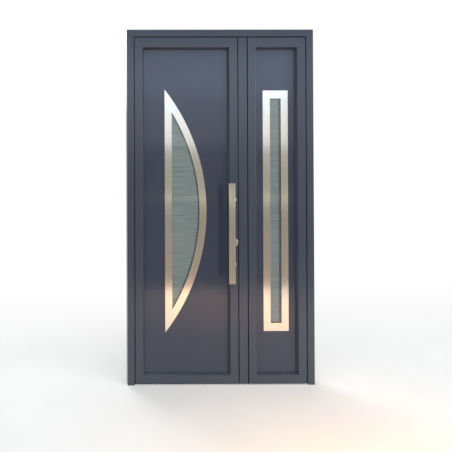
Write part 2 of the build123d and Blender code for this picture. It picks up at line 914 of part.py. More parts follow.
def case_shell(centre, height):
    """Sheet steel box, open towards the face plate."""
    half = lock_case_thickness / 2
    with BuildPart() as shell:
        block(
            (case_back, into(lock_depth - half), centre - height / 2),
            (lock_edge, into(lock_depth + half), centre + height / 2),
        )
        block(
            (
                case_back + case_wall,
                into(lock_depth - half + case_wall),
                centre - height / 2 + case_wall,
            ),
            (
                lock_edge,
                into(lock_depth + half - case_wall),
                centre + height / 2 - case_wall,
            ),
            Mode.SUBTRACT,
        )
    return shell.part


with BuildPart() as lock_cases_part:
    add(case_shell(lock_case_centre, lock_case_height))
    add(plate(euro_profile(slot_clearance), 0, frame_depth), mode=Mode.SUBTRACT)
    with BuildSketch(Plane.XZ.offset(-into(frame_depth))):
        with Locations((lock_x, lever_height)):
            Circle(spindle_size / 2 + spindle_clearance)
    extrude(amount=frame_depth - lock_depth, mode=Mode.SUBTRACT)
    for height in end_lock_heights:
        add(case_shell(height, end_case_height))
save(lock_cases_part, "lock_cases")

# Deadbolt and two end bolts, drawn back flush with the face plate and thrown together.
# A rounded nose eases the first contact with the keep.
bolts = [(deadbolt_centre, deadbolt_height)]
bolts += [(height, end_bolt_height) for height in end_lock_heights]
with BuildPart() as lock_bolts:
    for centre, height in bolts:
        block(
            (
                faceplate_x - bolt_length,
                into(lock_depth - bolt_thickness / 2),
                centre - height / 2,
            ),
            (faceplate_x, into(lock_depth + bolt_thickness / 2), centre + height / 2),
        )
    noses = lock_bolts.edges().filter_by_position(Axis.X, faceplate_x, faceplate_x)
    fillet(noses, radius=bolt_nose)
save(lock_bolts, "lock_bolts")

# Latch, with its bevel towards the outside, where the keep meets it as the leaf closes
with BuildPart() as latch:
    with BuildSketch(Plane.XY.offset(latch_centre - latch_height / 2)):
        with BuildLine():
            tail = faceplate_x - latch_body_length
            tip = faceplate_x + latch_reach
            outer_side = into(lock_depth - latch_thickness / 2)
            inner_side = into(lock_depth + latch_thickness / 2)
            Polyline(
                (tail, outer_side),
                (tip - latch_nose, outer_side),
                (tip, inner_side - latch_tip),
                (tip, inner_side),
                (tail, inner_side),
                close=True,
            )
        make_face()
    extrude(amount=latch_height)
save(latch, "latch")

# Lock cylinder: fixed body with a turning plug right through it
cylinder_outside = -rosette_height - cylinder_proud
cylinder_inside = frame_depth + handle_plate_thickness + cylinder_proud

with BuildPart() as cylinder_body:
    add(plate(euro_profile(0), cylinder_outside, cylinder_inside))
    with BuildSketch(Plane.XZ.offset(-into(cylinder_inside))):
        with Locations((lock_x, cylinder_height)):
            Circle(plug_radius + running_clearance)
    extrude(amount=cylinder_inside - cylinder_outside, mode=Mode.SUBTRACT)
save(cylinder_body, "cylinder_body")

with BuildPart() as cylinder_plug:
    with BuildSketch(Plane.XZ.offset(-into(cylinder_inside))):
        with Locations((lock_x, cylinder_height)):
            Circle(plug_radius)
    extrude(amount=cylinder_inside - cylinder_outside)
    # keyway in the outer end
    block(
        (
            lock_x - keyway_width / 2,
            into(cylinder_outside),
            cylinder_height - keyway_height / 2,
        ),
        (lock_x + keyway_width / 2, into(0), cylinder_height + keyway_height / 2),
        Mode.SUBTRACT,
    )
save(cylinder_plug, "cylinder_plug")

with BuildPart() as thumbturn:
    knob_start = cylinder_inside + knob_base_height
    knob_end = knob_start + knob_depth
    with BuildSketch(Plane.XZ.offset(-into(knob_start))):
        with Locations((lock_x, cylinder_height)):
            Circle(plug_radius + knob_base_lip)
    extrude(amount=knob_base_height)
    with BuildSketch(Plane.XZ.offset(-into(knob_end))):
        with Locations((lock_x, cylinder_height)):
            SlotOverall(knob_length, knob_width, rotation=90)
    extrude(amount=knob_depth)
    rim = thumbturn.edges().filter_by_position(Axis.Y, into(knob_end), into(knob_end))
    fillet(rim, radius=knob_rim)
save(thumbturn, "thumbturn")

# Round rosette outside, centred on the cylinder's section, and a long plate inside
with BuildPart() as rosette:
    with BuildSketch(Plane.XZ.offset(-into(0))):
        with Locations((lock_x, cylinder_height - (cylinder_tail_height - cylinder_radius) / 2)):
            Circle(rosette_radius)
    extrude(amount=rosette_height)
    rim = rosette.edges().filter_by(GeomType.CIRCLE).filter_by_position(
        Axis.Y, into(-rosette_height), into(-rosette_height)
    )
    fillet(rim, radius=rosette_rim)
    add(plate(euro_profile(slot_clearance), -rosette_height, 0), mode=Mode.SUBTRACT)
save(rosette, "outer_rosette")

with BuildPart() as handle_plate:
    plate_back = frame_depth + handle_plate_thickness
    with BuildSketch(Plane.XZ.offset(-into(plate_back))):
        with Locations((lock_x, handle_plate_centre)):
            RectangleRounded(handle_plate_width, handle_plate_height, handle_plate_corner)
    extrude(amount=handle_plate_thickness)
    rim = handle_plate.edges().filter_by_position(Axis.Y, into(plate_back), into(plate_back))
    fillet(rim, radius=handle_plate_rim)
    add(plate(euro_profile(slot_clearance), frame_depth, plate_back), mode=Mode.SUBTRACT)
    with BuildSketch(Plane.XZ.offset(-into(plate_back))):
        with Locations((lock_x, lever_height)):
            Circle(lever_neck_radius + running_clearance)
    extrude(amount=handle_plate_thickness, mode=Mode.SUBTRACT)
save(handle_plate, "handle_plate")

# Inside lever: round neck in the plate, flat grip towards the hinges, on a square spindle
with BuildPart() as lever:
    grip_back = frame_depth + handle_plate_thickness + lever_reach
    with BuildSketch(Plane.XZ.offset(-into(grip_back))):
        with Locations((lock_x, lever_height)):
            Circle(lever_neck_radius)
    extrude(amount=lever_reach + handle_plate_thickness)
    with BuildSketch(Plane.XZ.offset(-into(grip_back))):
        with Locations((lock_x - lever_length / 2 + lever_width / 2, lever_height)):
            SlotOverall(lever_length, lever_width)
    extrude(amount=lever_thickness)
    rim = lever.edges().filter_by_position(Axis.Y, into(grip_back), into(grip_back))
    fillet(rim, radius=lever_rim)
    block(
        (lock_x - spindle_size / 2, into(frame_depth), lever_height - spindle_size / 2),
        (
            lock_x + spindle_size / 2,
            into(frame_depth + handle_plate_thickness),
            lever_height + spindle_size / 2,
        ),
        Mode.SUBTRACT,
    )
save(lever, "lever")

with BuildPart() as spindle:
    block(
        (
            lock_x - spindle_size / 2,
            into(lock_depth - spindle_size / 2),
            lever_height - spindle_size / 2,
        ),
        (
            lock_x + spindle_size / 2,
            into(frame_depth + handle_plate_thickness),
            lever_height + spindle_size / 2,
        ),
    )
save(spindle, "spindle")

# Pull bar: a flat bar held clear of the leaf by two slanting legs on the lock stile
pull_x = lock_x - pull_offset
with BuildPart() as pull_bar:
    block(
        (
            pull_x - pull_width / 2,
            into(-pull_standoff - pull_thickness),
            pull_centre_height - pull_length / 2,
        ),
        (pull_x + pull_width / 2, into(-pull_standoff), pull_centre_height + pull_length / 2),
    )
    chamfer(pull_bar.edges(), length=pull_arris)
save(pull_bar, "pull_bar")

with BuildPart() as pull_bar_legs:
    for side in (-1, 1):
        leg_z = pull_centre_height + side * pull_leg_spacing / 2
        with BuildSketch(Plane.XZ.offset(-into(-pull_standoff))):
            with Locations((pull_x, leg_z)):
                Circle(pull_leg_radius)
        with BuildSketch(Plane.XZ.offset(-into(-pull_foot_height))):
            with Locations((lock_x, leg_z)):
                Circle(pull_leg_radius)
        loft()
        with BuildSketch(Plane.XZ.offset(-into(0))):
            with Locations((lock_x, leg_z)):
                Circle(pull_foot_radius)
        extrude(amount=pull_foot_height)
save(pull_bar_legs, "pull_bar_legs")


def save_hinges(side, leaf):
    """Three barrel hinges on the inner face; side is -1 for the left jamb, +1 for the right."""
    axis_x = side * (half_width - hinge_axis_inset)
    axis_y = into(frame_depth + hinge_axis_standoff)
    back = into(frame_depth)
    plate_back = into(frame_depth + hinge_plate_thickness)

    def between(reach_low, reach_high):
        """X range from two distances off the axis, positive towards the jamb."""
        ends = sorted((axis_x + side * reach_low, axis_x + side * reach_high))
        return ends[0], ends[1]

    jamb_end = hinge_axis_inset - profile_wall
    with BuildPart() as frame_hinges:
        for middle in hinge_heights:
            low = middle - hinge_length / 2
            plate_x = between(jamb_end - hinge_frame_plate, jamb_end)
            block((plate_x[0], back, low), (plate_x[1], plate_back, low + hinge_length))
            web_x = between(0, jamb_end - hinge_frame_plate + hinge_web_lap)
            web_y = (back + hinge_web_lift, back + hinge_web_lift + hinge_web)
            for start in (low, low + hinge_length - hinge_end_knuckle):
                with BuildSketch(Plane.XY.offset(start)):
                    with Locations((axis_x, axis_y)):
                        Circle(hinge_radius)
                extrude(amount=hinge_end_knuckle)
                block(
                    (web_x[0], web_y[0], start),
                    (web_x[1], web_y[1], start + hinge_end_knuckle),
                )
        for middle in hinge_heights:
            with BuildSketch(Plane.XY.offset(middle - hinge_length / 2)):
                with Locations((axis_x, axis_y)):
                    Circle(hinge_pin_radius)
            extrude(amount=hinge_length, mode=Mode.SUBTRACT)
    save(frame_hinges, f"{leaf}_frame_hinges")

    with BuildPart() as leaf_hinges:
        for middle in hinge_heights:
            half = hinge_length / 2 - hinge_end_knuckle - hinge_knuckle_gap
            plate_x = between(-hinge_leaf_plate_inset - hinge_leaf_plate, -hinge_leaf_plate_inset)
            block((plate_x[0], back, middle - half), (plate_x[1], plate_back, middle + half))
            web_x = between(-hinge_leaf_plate_inset - hinge_web_lap, 0)
            web_y = (back + hinge_web_lift, back + hinge_web_lift + hinge_web)
            with BuildSketch(Plane.XY.offset(middle - half)):
                with Locations((axis_x, axis_y)):
                    Circle(hinge_radius)
            extrude(amount=2 * half)
            block(
                (web_x[0], web_y[0], middle - half),
                (web_x[1], web_y[1], middle + half),
            )
        for middle in hinge_heights:
            with BuildSketch(Plane.XY.offset(middle - hinge_length / 2)):
                with Locations((axis_x, axis_y)):
                    Circle(hinge_pin_radius + running_clearance)
            extrude(amount=hinge_length, mode=Mode.SUBTRACT)
    save(leaf_hinges, f"{leaf}_leaf_hinges")

    with BuildPart() as hinge_pins:
        for middle in hinge_heights:
            with BuildSketch(Plane.XY.offset(middle - hinge_length / 2)):
                with Locations((axis_x, axis_y)):
                    Circle(hinge_pin_radius)
            extrude(amount=hinge_length)
            for start in (middle - hinge_length / 2 - hinge_pin_head, middle + hinge_length / 2):
                with BuildSketch(Plane.XY.offset(start)):
                    with Locations((axis_x, axis_y)):
                        Circle(hinge_pin_head_radius)
                extrude(amount=hinge_pin_head)
    save(hinge_pins, f"{leaf}_hinge_pins")


save_hinges(-1, "active")
save_hinges(1, "side")
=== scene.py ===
from math import radians

import bmesh
import bpy
import numpy as np
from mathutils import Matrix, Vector


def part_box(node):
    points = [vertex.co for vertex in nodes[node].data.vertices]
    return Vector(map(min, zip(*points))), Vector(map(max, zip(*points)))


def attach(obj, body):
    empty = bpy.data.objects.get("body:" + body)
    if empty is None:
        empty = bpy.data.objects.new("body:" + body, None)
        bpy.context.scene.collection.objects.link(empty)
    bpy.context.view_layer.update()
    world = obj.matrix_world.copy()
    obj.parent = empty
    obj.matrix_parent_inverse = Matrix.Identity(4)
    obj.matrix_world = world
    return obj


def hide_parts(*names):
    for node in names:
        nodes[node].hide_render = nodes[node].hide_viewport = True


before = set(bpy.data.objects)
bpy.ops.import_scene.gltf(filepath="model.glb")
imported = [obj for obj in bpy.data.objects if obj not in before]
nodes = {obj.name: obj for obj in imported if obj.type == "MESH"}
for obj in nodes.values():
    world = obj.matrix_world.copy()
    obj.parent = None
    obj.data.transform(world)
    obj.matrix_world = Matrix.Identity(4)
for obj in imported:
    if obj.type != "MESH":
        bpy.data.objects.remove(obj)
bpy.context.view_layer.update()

# ---------------------------------------------------------------------------
# Painted profiles: jambs, head, stiles, rails, beads and the post.
# Extruded aluminium, powder-coated in a semi-gloss dark blue-grey with the fine
# orange peel that baked powder leaves, and a little dust near the floor.


def linear(red, green, blue):
    """Colour written as 0 to 255 on a screen, turned into the light it stands for."""
    share = np.array([red, green, blue]) / 255
    bent = np.where(share <= 0.04045, share / 12.92, ((share + 0.055) / 1.055) ** 2.4)
    return (*bent.tolist(), 1.0)


def new_finish(name):
    """A material with its node tree, its main shader and the place each point reads."""
    finish = bpy.data.materials.new(name)
    finish.use_nodes = True
    tree = finish.node_tree
    place = tree.nodes.new("ShaderNodeTexCoord").outputs["Object"]
    return finish, tree, tree.nodes["Principled BSDF"], place


def put(tree, kind, inputs, **settings):
    """A node with its settings; each input is another node's output or a plain value."""
    made = tree.nodes.new(kind)
    for key, value in settings.items():
        setattr(made, key, value)
    for key, value in inputs.items():
        if isinstance(value, bpy.types.NodeSocket):
            tree.links.new(value, made.inputs[key])
        else:
            made.inputs[key].default_value = value
    return made.outputs


def noise(tree, place, stretch, detail=3.0):
    """Cloudy pattern from 0 to 1, with stretch cells to the metre along X, Y and Z."""
    spot = put(tree, "ShaderNodeMapping", {"Vector": place, "Scale": stretch})["Vector"]
    return put(tree, "ShaderNodeTexNoise", {"Vector": spot, "Scale": 1.0, "Detail": detail})["Fac"]


def between(tree, share, low, high):
    """Number that eases from low to high as share runs from 0.25 to 0.75."""
    inputs = {"Value": share, "From Min": 0.25, "From Max": 0.75, "To Min": low, "To Max": high}
    return put(tree, "ShaderNodeMapRange", inputs, interpolation_type="SMOOTHSTEP")["Result"]


def colour_mix(tree, share, first, second):
    """Colour that turns from the first into the second as share goes from 0 to 1."""
    mix = tree.nodes.new("ShaderNodeMix")
    mix.data_type = "RGBA"
    for socket, value in ((mix.inputs[0], share), (mix.inputs[6], first), (mix.inputs[7], second)):
        if isinstance(value, bpy.types.NodeSocket):
            tree.links.new(value, socket)
        else:
            socket.default_value = value
    return mix.outputs[2]


coat_colour = linear(59, 67, 82)
settled_dust = linear(120, 112, 102)
dust_share = 0.16
dust_height = 0.3
peel_depth = 0.00003


def powder_coat(name, colour, roughness, peel):
    """Baked powder paint: slow cloudy tone, orange peel bump, dust that thins out with height."""
    finish, tree, shader, place = new_finish(name)
    cloud = between(tree, noise(tree, place, (3, 3, 1.2)), 0.0, 1.0)
    deep = tuple(0.93 * part for part in colour[:3]) + (1.0,)
    paint = colour_mix(tree, cloud, deep, colour)
    height = put(tree, "ShaderNodeSeparateXYZ", {"Vector": place})["Z"]
    thinning = {"Value": height, "From Max": dust_height, "To Min": dust_share, "To Max": 0.0}
    near_floor = put(tree, "ShaderNodeMapRange", thinning)["Result"]
    speckle = between(tree, noise(tree, place, (240, 240, 160), 4.0), 0.0, 1.0)
    dust = put(tree, "ShaderNodeMath", {0: near_floor, 1: speckle}, operation="MULTIPLY")["Value"]
    tree.links.new(colour_mix(tree, dust, paint, settled_dust), shader.inputs["Base Color"])
    tree.links.new(
        between(tree, noise(tree, place, (9, 9, 5)), roughness - 0.015, roughness + 0.02),
        shader.inputs["Roughness"],
    )
    grain = noise(tree, place, (600, 600, 600), 1.0)
    bump = put(tree, "ShaderNodeBump", {"Height": grain, "Strength": peel, "Distance": peel_depth})
    tree.links.new(bump["Normal"], shader.inputs["Normal"])
    return finish


def dress(finish, *names):
    """Give CAD nodes a finish through their material slots."""
    for name in names:
        for slot in nodes[name].material_slots:
            slot.material = finish


profile_paint = powder_coat("profile_paint", coat_colour, roughness=0.22, peel=0.5)
dress(
    profile_paint,
    "left_jamb",
    "right_jamb",
    "head",
    "active_hinge_stile",
    "active_lock_stile",
    "active_top_rail",
    "active_bottom_rail",
    "active_glazing_beads",
    "side_meeting_stile",
    "side_hinge_stile",
    "side_top_rail",
    "side_bottom_rail",
    "side_glazing_beads",
    "astragal",
)

# ---------------------------------------------------------------------------
# Panels: a foam board between two aluminium sheets, coated like the profiles but
# smoother, so that they mirror what stands before them.

panel_paint = powder_coat("panel_paint", linear(54, 61, 79), roughness=0.12, peel=0.15)
dress(panel_paint, "active_panel", "side_panel")

# ---------------------------------------------------------------------------
# Threshold, corner cleats and spacers: bare extruded aluminium, with the fine
# level grain that the die leaves along the sill.

gloss_spread = 0.05
grain_depth = 0.0002


def brushed(name, light, dark, stretch, roughness, depth):
    """Metal with long fine grain: noise stretched along the grain sets tone, gloss and bump."""
    finish, tree, shader, place = new_finish(name)
    fine = noise(tree, place, stretch)
    share = between(tree, fine, 0.0, 1.0)
    tree.links.new(colour_mix(tree, share, dark, light), shader.inputs["Base Color"])
    gloss = between(tree, fine, roughness + gloss_spread, roughness - gloss_spread)
    tree.links.new(gloss, shader.inputs["Roughness"])
    bump = put(tree, "ShaderNodeBump", {"Height": fine, "Strength": depth, "Distance": grain_depth})
    tree.links.new(bump["Normal"], shader.inputs["Normal"])
    shader.inputs["Metallic"].default_value = 1.0
    return finish


mill_aluminium = brushed(
    "mill_aluminium", linear(205, 205, 206), linear(178, 178, 180), (12, 700, 700), 0.4, 0.3
)
dress(
    mill_aluminium,
    "threshold",
    "frame_corner_cleats",
    "active_corner_cleats",
    "side_corner_cleats",
    "active_glass_spacer",
    "side_glass_spacer",
)

# ---------------------------------------------------------------------------
# Trims round the lights, pull bar, rosette and inside handle: stainless steel
# sheet and bar, ground along its length to an upright satin grain.

stainless = brushed(
    "stainless_steel", linear(222, 218, 210), linear(212, 208, 200), (1100, 1100, 5), 0.15, 0.35
)
dress(
    stainless,
    "active_outer_trim",
    "active_inner_trim",
    "side_outer_trim",
    "side_inner_trim",
    "pull_bar",
    "pull_bar_legs",
    "outer_rosette",
    "handle_plate",
    "lever",
)

# ---------------------------------------------------------------------------
# Lock case, face plate, keeps, bolts and strikes: pressed steel, zinc-plated,
# with the faint yellow-grey clouds of the bath.

scratch_depth = 0.0001
scratch_strength = 0.15


def plated(name, light, dark, roughness):
    """Plating: soft clouds of tone and gloss, and the shallow scratches of use."""
    finish, tree, shader, place = new_finish(name)
    cloud = between(tree, noise(tree, place, (260, 260, 180)), 0.0, 1.0)
    tree.links.new(colour_mix(tree, cloud, dark, light), shader.inputs["Base Color"])
    scratch = noise(tree, place, (300, 300, 900), 2.0)
    tree.links.new(
        between(tree, scratch, roughness - 0.05, roughness + 0.08), shader.inputs["Roughness"]
    )
    marks = {"Height": scratch, "Strength": scratch_strength, "Distance": scratch_depth}
    bump = put(tree, "ShaderNodeBump", marks)
    tree.links.new(bump["Normal"], shader.inputs["Normal"])
    shader.inputs["Metallic"].default_value = 1.0
    return finish


zinc_plate = plated("zinc_plate", linear(192, 192, 187), linear(174, 174, 171), 0.36)
dress(
    zinc_plate,
    "lock_faceplate",
    "lock_cases",
    "lock_keeps",
    "lock_bolts",
    "latch",
    "flush_bolt_plates",
    "top_flush_bolt",
    "bottom_flush_bolt",
    "head_strike",
    "spindle",
)

# ---------------------------------------------------------------------------
# Cylinder and thumb turn: brass, satin nickel-plated.

nickel = plated("satin_nickel", linear(206, 200, 190), linear(184, 177, 166), 0.27)
dress(nickel, "cylinder_body", "cylinder_plug", "thumbturn")

# ---------------------------------------------------------------------------
# Hinges: steel plates, knuckles and pins, powder-coated in the profiles' colour
# with a coarser peel and less gloss.

hinge_paint = powder_coat("hinge_paint", coat_colour, roughness=0.3, peel=0.6)
dress(
    hinge_paint,
    "active_frame_hinges",
    "active_leaf_hinges",
    "side_frame_hinges",
    "side_leaf_hinges",
    "active_hinge_pins",
    "side_hinge_pins",
)

# ---------------------------------------------------------------------------
# Sealed double panes: a clear outer sheet over an etched inner one, which has
# fine level lines and lets light through but no view.

clear_roughness, etched_roughness = 0.03, 0.5
line_shade = 0.4
let_through = 0.92
glass_index = 1.5


def pane_glass(name, tint, etched):
    """Glass, smooth in front of the frame's middle and etched with level lines behind it."""
    finish, tree, shader, place = new_finish(name)
    parts = put(tree, "ShaderNodeSeparateXYZ", {"Vector": place})
    behind = put(tree, "ShaderNodeMath", {0: parts["Y"], 1: 0.0}, operation="GREATER_THAN")["Value"]
    lines = between(tree, noise(tree, place, (5, 5, 170), 2.0), 0.0, 1.0)
    shown = put(tree, "ShaderNodeMath", {0: behind, 1: lines}, operation="MULTIPLY")["Value"]
    body = colour_mix(tree, behind, tint, etched)
    dark = tuple(line_shade * part for part in etched[:3]) + (1.0,)
    tree.links.new(colour_mix(tree, shown, body, dark), shader.inputs["Base Color"])
    etching = {"Value": behind, "To Min": clear_roughness, "To Max": etched_roughness}
    rough = put(tree, "ShaderNodeMapRange", etching)["Result"]
    tree.links.new(rough, shader.inputs["Roughness"])
    shader.inputs["Transmission Weight"].default_value = let_through
    shader.inputs["IOR"].default_value = glass_index
    return finish


glass = pane_glass("pane_glass", linear(208, 217, 217), linear(166, 180, 179))
dress(glass, "active_glass", "side_glass")

# ---------------------------------------------------------------------------
# End caps of the post: moulded black plastic with a fine spark-eroded grain,
# pushed into the hollow post's two ends.

pit_depth = 0.0001
pit_gloss = 0.06
paler = 1.6


def moulded(name, colour, roughness, cells, depth):
    """Dull black plastic or rubber: fine pitted grain and a slightly uneven tone."""
    finish, tree, shader, place = new_finish(name)
    pits = noise(tree, place, (cells, cells, cells), 2.0)
    pale = tuple(paler * part for part in colour[:3]) + (1.0,)
    share = between(tree, noise(tree, place, (25, 25, 8)), 0.0, 1.0)
    tree.links.new(colour_mix(tree, share, colour, pale), shader.inputs["Base Color"])
    gloss = between(tree, pits, roughness - pit_gloss, roughness + pit_gloss)
    tree.links.new(gloss, shader.inputs["Roughness"])
    bump = put(tree, "ShaderNodeBump", {"Height": pits, "Strength": depth, "Distance": pit_depth})
    tree.links.new(bump["Normal"], shader.inputs["Normal"])
    return finish


black_plastic = moulded("black_plastic", linear(34, 34, 35), 0.55, 1500, 0.3)
dress(black_plastic, "astragal_caps")

# ---------------------------------------------------------------------------
# Rubber seal in the frame: a black bulb seal pushed into the back of the wing,
# running up one jamb, along the head and down the other.

black_rubber = moulded("black_rubber", linear(24, 24, 25), 0.62, 900, 0.25)


def carry(path, profile, closed):
    """Grid of a profile carried along a path in the X-Z plane.

    Each path point is a mitre: the profile's first number, its distance to the left of the
    path, is laid along the line that halves the corner and is divided by the cosine of half
    the turn; its second number is added to Y.
    """
    points = np.asarray(path, float)
    profile = np.asarray(profile, float)
    if closed:
        before, after = np.roll(points, 1, 0), np.roll(points, -1, 0)
    else:
        before = np.vstack([2 * points[0] - points[1], points[:-1]])
        after = np.vstack([points[1:], 2 * points[-1] - points[-2]])
    arriving = points - before
    leaving = after - points
    arriving /= np.linalg.norm(arriving[:, [0, 2]], axis=1)[:, None]
    leaving /= np.linalg.norm(leaving[:, [0, 2]], axis=1)[:, None]
    side_in = np.stack([-arriving[:, 2], np.zeros(len(points)), arriving[:, 0]], 1)
    side_out = np.stack([-leaving[:, 2], np.zeros(len(points)), leaving[:, 0]], 1)
    mitre = side_in + side_out
    mitre /= (mitre * side_in).sum(1)[:, None]
    across = profile[None, :, 0, None] * mitre[:, None, :]
    deep = profile[None, :, 1, None] * np.array([0.0, 1.0, 0.0])
    return points[:, None, :] + across + deep


def skin(name, grids, closed_path=False):
    """Mesh of grids, each closed round its second way; the ends of an open path are capped."""
    vertices, faces, start = [], [], 0
    for grid in grids:
        rows, columns = grid.shape[:2]
        numbers = start + np.arange(rows * columns).reshape(rows, columns)
        upper = np.roll(numbers, -1, 0) if closed_path else numbers[1:]
        lower = numbers if closed_path else numbers[:-1]
        quads = np.stack(
            [lower, np.roll(lower, -1, 1), np.roll(upper, -1, 1), upper], -1
        ).reshape(-1, 4)
        faces += quads.tolist()
        if not closed_path:
            faces += [numbers[0][::-1].tolist(), numbers[-1].tolist()]
        vertices.append(grid.reshape(-1, 3))
        start += rows * columns
    mesh = bpy.data.meshes.new(name)
    mesh.from_pydata(np.vstack(vertices).tolist(), [], faces)
    shell = bmesh.new()
    shell.from_mesh(mesh)
    bmesh.ops.recalc_face_normals(shell, faces=shell.faces)
    shell.to_mesh(mesh)
    shell.free()
    piece = bpy.data.objects.new(name, mesh)
    bpy.context.scene.collection.objects.link(piece)
    return piece


sharp_edge = radians(35)


def finished(piece, finish, body, smooth=True):
    """Give a piece its material and the body it rides on."""
    piece.data.materials.append(finish)
    piece.data.polygons.foreach_set("use_smooth", [smooth] * len(piece.data.polygons))
    if smooth:
        piece.data.set_sharp_from_angle(angle=sharp_edge)
    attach(piece, body)
    return piece


def bulb(width, depth, foot):
    """Outline of a bulb seal: a flat foot, then half an ellipse that stands up from it."""
    turn = np.linspace(0, np.pi, 13)
    round_part = np.stack([0.5 * width * np.cos(turn), foot + (depth - foot) * np.sin(turn)], 1)
    corners = np.array([[-0.5 * width, 0.0], [0.5 * width, 0.0]])
    return np.vstack([corners, round_part])


seal_low, seal_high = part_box("frame_seal")
seal_width = 0.007
seal_foot = 0.0012
seal_depth = seal_high.y - seal_low.y
seal_left, seal_right = seal_low.x + seal_width / 2, seal_high.x - seal_width / 2
seal_top = seal_high.z - seal_width / 2
seal_path = [
    (seal_left, seal_low.y, seal_low.z),
    (seal_left, seal_low.y, seal_top),
    (seal_right, seal_low.y, seal_top),
    (seal_right, seal_low.y, seal_low.z),
]
seal_profile = bulb(seal_width, seal_depth, seal_foot)
frame_bulb = skin("frame_bulb_seal", [carry(seal_path, seal_profile, False)])
finished(frame_bulb, black_rubber, "frame")
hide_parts("frame_seal")

# ---------------------------------------------------------------------------
# Panel gaskets: black rubber strips on both faces of each panel. A rounded lip
# of each stands a little past the profile, as a thin dark line round the panel.

gasket_width = 0.010
gasket_depth = 0.002
gasket_lip = 0.0011


def gasket_outline(width, depth, lip):
    """Flat strip whose inner edge swells by lip in half a circle."""
    turn = np.linspace(-np.pi / 2, np.pi / 2, 9)
    swell = np.stack([width + lip * np.cos(turn), depth / 2 + depth / 2 * np.sin(turn)], 1)
    return np.vstack([[[0.0, 0.0]], swell, [[0.0, depth]]])


for node, body in (("active_panel_gaskets", "active_leaf"), ("side_panel_gaskets", "side_leaf")):
    low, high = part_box(node)
    loops = []
    for depth in (low.y, high.y - gasket_depth):
        # clockwise round the outer edge, so that the strip's width goes inwards
        corners = [
            (low.x, depth, low.z),
            (high.x, depth, low.z),
            (high.x, depth, high.z),
            (low.x, depth, high.z),
        ]
        loops.append(carry(corners, gasket_outline(gasket_width, gasket_depth, gasket_lip), True))
    gaskets = skin(f"{node}_fitted", loops, closed_path=True)
    finished(gaskets, black_rubber, body)
    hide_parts(node)

# ---------------------------------------------------------------------------
# Meeting seals: black rubber fins along the wide leaf's edge and along the post,
# so that no draught passes between them.


def upright(x, y, low, high):
    """Straight path up from low to high."""
    return [(x, y, low), (x, y, high)]


lip_low, lip_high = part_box("active_meeting_seal")
lip_fin = [
    (0.0, 0.0),
    (-0.0032, 0.0006),
    (-0.0049, 0.0016),
    (-0.0049, 0.0026),
    (-0.0030, 0.0022),
    (-0.0010, 0.0040),
    (0.0, 0.0040),
]
flap_fin = [
    (0.0, 0.0),
    (-0.0010, 0.0008),
    (-0.0018, 0.0024),
    (-0.0018, 0.0034),
    (-0.0009, 0.0050),
    (0.0, 0.0060),
]
flap_x = lip_low.x + 0.001
flap_y = lip_high.y - flap_fin[-1][1]
meeting_fins = skin(
    "active_meeting_fins",
    [
        carry(upright(lip_low.x, lip_low.y, lip_low.z, lip_high.z), lip_fin, False),
        carry(upright(flap_x, flap_y, lip_low.z, lip_high.z), flap_fin, False),
    ],
)
finished(meeting_fins, black_rubber, "active_leaf")
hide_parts("active_meeting_seal")

post_low, post_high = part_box("post_seal")
post_fin = [
    (0.0, 0.0),
    (0.0012, 0.0005),
    (0.0024, 0.0024),
    (0.0024, 0.0036),
    (0.0012, 0.0055),
    (0.0, 0.0060),
]
post_fins = skin(
    "post_fin_seal",
    [carry(upright(post_high.x, post_low.y, post_low.z, post_high.z), post_fin, False)],
)
finished(post_fins, black_rubber, "side_leaf")
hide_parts("post_seal")

# ---------------------------------------------------------------------------
# Brush strips under the leaves: three rows of nylon bristles in a plastic
# holder. They sweep the threshold and keep the wind out.

bristle_pitch = 0.0016
bristle_half = 0.00035
bristle_rows = 3
row_margin = 0.001
tip_drift = 0.0005
tip_short = 0.0004
holder_height = 0.0014


def bristles(low, high, seed):
    """Tapered four-sided bristles: a square root, and a tip moved aside by a seeded amount."""
    drift = np.random.default_rng(seed)
    along = np.arange(low.x + bristle_pitch, high.x - bristle_pitch, bristle_pitch)
    rows = np.linspace(low.y + row_margin, high.y - row_margin, bristle_rows)
    spots = np.stack(np.meshgrid(along, rows, indexing="ij"), -1).reshape(-1, 2)
    square = np.array([[-1, -1], [1, -1], [1, 1], [-1, 1]]) * bristle_half
    root = spots[:, None, :] + square
    lean = drift.uniform(-tip_drift, tip_drift, (len(spots), 1, 2))
    tip = spots[:, None, :] + lean + 0.5 * square
    top = np.full((len(spots), 4, 1), high.z - holder_height)
    end = low.z + drift.uniform(0.0, tip_short, (len(spots), 1, 1)) + np.zeros((1, 4, 1))
    return np.concatenate([root, top], -1), np.concatenate([tip, end], -1)


def brush(name, node, body, seed):
    """Holder and bristles as one mesh, in the space of the CAD strip.

    A bristle has four root corners, then four tip corners; the holder has its eight corners.
    """
    low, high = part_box(node)
    root, tip = bristles(low, high, seed)
    first = 8 * np.arange(len(root))[:, None, None]
    sides = [[0, 4, 5, 1], [1, 5, 6, 2], [2, 6, 7, 3], [3, 7, 4, 0], [4, 7, 6, 5], [0, 1, 2, 3]]
    faces = (first + np.array(sides)).reshape(-1, 4)
    points = np.concatenate([root, tip], 1).reshape(-1, 3)
    levels, depths, ends = (high.z - holder_height, high.z), (low.y, high.y), (low.x, high.x)
    corners = [[x, y, z] for z in levels for y in depths for x in ends]
    walls = [[0, 2, 3, 1], [4, 5, 7, 6], [0, 1, 5, 4], [2, 6, 7, 3], [0, 4, 6, 2], [1, 3, 7, 5]]
    vertices = np.vstack([points, corners])
    mesh = bpy.data.meshes.new(name)
    mesh.from_pydata(
        vertices.tolist(), [], np.vstack([faces, np.array(walls) + len(points)]).tolist()
    )
    piece = bpy.data.objects.new(name, mesh)
    bpy.context.scene.collection.objects.link(piece)
    finished(piece, black_plastic, body, smooth=False)
    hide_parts(node)


